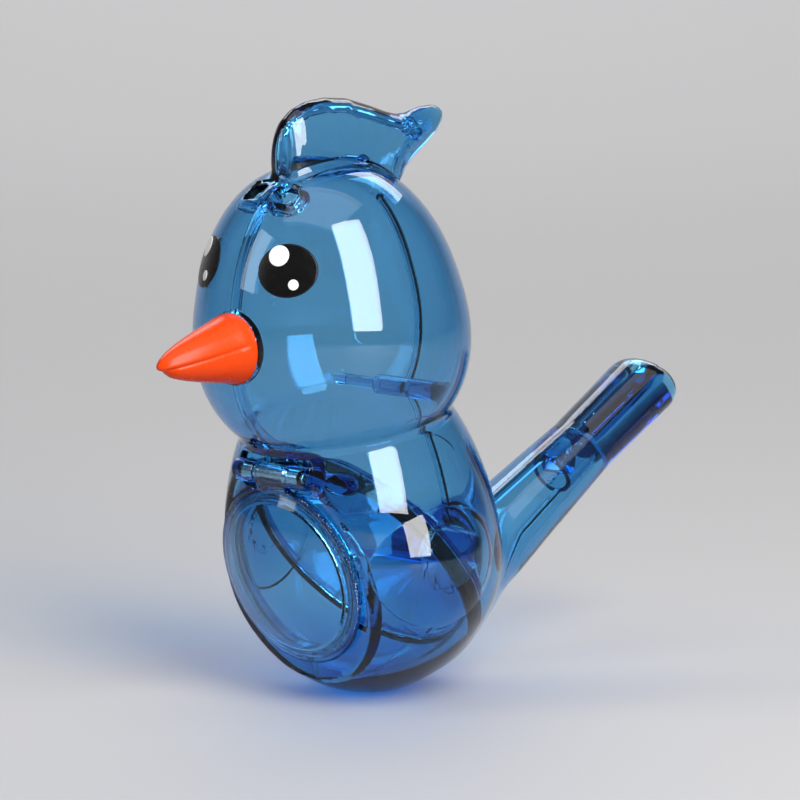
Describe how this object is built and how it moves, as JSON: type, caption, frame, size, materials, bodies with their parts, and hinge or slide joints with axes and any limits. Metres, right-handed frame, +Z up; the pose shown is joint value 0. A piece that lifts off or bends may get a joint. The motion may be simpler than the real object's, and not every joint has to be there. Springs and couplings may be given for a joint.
{
  "type": "bird-shaped water whistle",
  "caption": "Clear blue bird-shaped water whistle: hollow round body and head, hinged round belly door, blowing tube in the tail, push-in orange beak.",
  "frame": {"origin": "centre of the flat foot that the bird stands on", "axes": "+Z up; the beak points to -Y and the tail to +Y; +X is the bird's left side"},
  "size_m": [0.0458, 0.1085, 0.0906],
  "materials": {
    "clear_blue": "polished transparent blue plastic",
    "inner_blue": "polished transparent blue plastic, deeper where it is thick",
    "beak_orange": "satin moulded orange plastic",
    "eye_black": "printed gloss ink",
    "eye_white": "printed gloss ink",
    "seal_black": "matt black rubber",
    "seal_clear": "clear soft rubber",
    "pin_steel": "drawn steel wire"
  },
  "bodies": {
    "whistle": {"shell_left": "clear_blue", "shell_right": "clear_blue", "beak": "beak_orange", "left_eye_print": "eye_black", "right_eye_print": "eye_black", "left_eye_glints": "eye_white", "right_eye_glints": "eye_white", "door_hinge_pin": "pin_steel", "baffle_plate": "inner_blue", "baffle_seal": "seal_black", "windway_block": "inner_blue", "labium_insert": "inner_blue"},
    "door": {"belly_door": "clear_blue", "door_seal": "seal_clear"}
  },
  "joints": [
    {"name": "door_hinge", "type": "hinge", "parent": "whistle", "child": "door", "pos_m": [0, -0.0187, 0.0354], "axis": [-1, 0, 0], "range_deg": [0, 95]}
  ]
}
